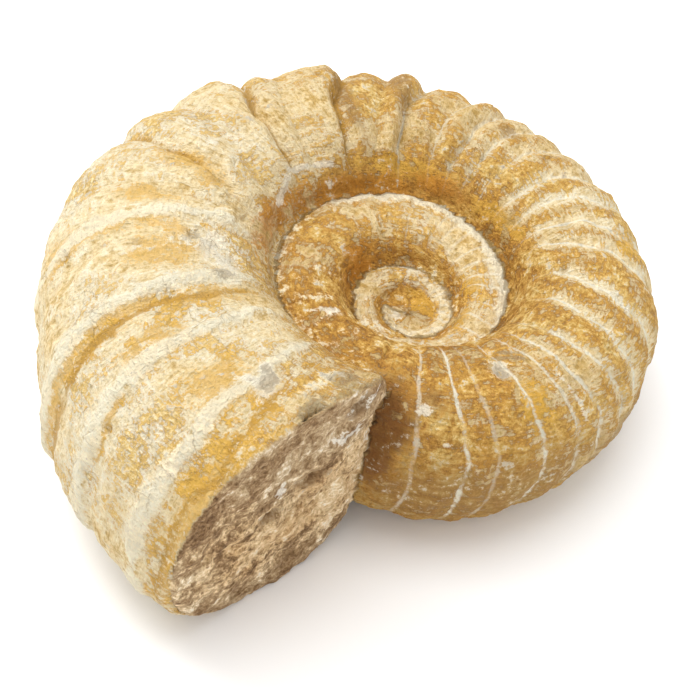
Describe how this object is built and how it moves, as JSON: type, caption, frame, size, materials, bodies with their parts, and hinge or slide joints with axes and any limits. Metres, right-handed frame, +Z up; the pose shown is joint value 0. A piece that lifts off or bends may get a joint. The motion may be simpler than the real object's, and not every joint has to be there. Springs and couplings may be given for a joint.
{
  "type": "ammonite fossil",
  "caption": "Ribbed spiral fossil shell in yellow limestone, with a deep umbilicus and a whorl broken off square at the mouth, lying on its flank.",
  "frame": {"origin": "Centre of the bounding box on the ground, under the coil.", "axes": "+Z is up, out of the upper flank, and is the thickness of the coil; X and Y span the disc of the coil, with the broken mouth towards -Y and the longest way across it along Y."},
  "size_m": [0.1918, 0.2152, 0.0881],
  "materials": {
    "limestone": "matt, rough and grainy"
  },
  "bodies": {
    "root": {"ammonite": "limestone"}
  },
  "joints": []
}
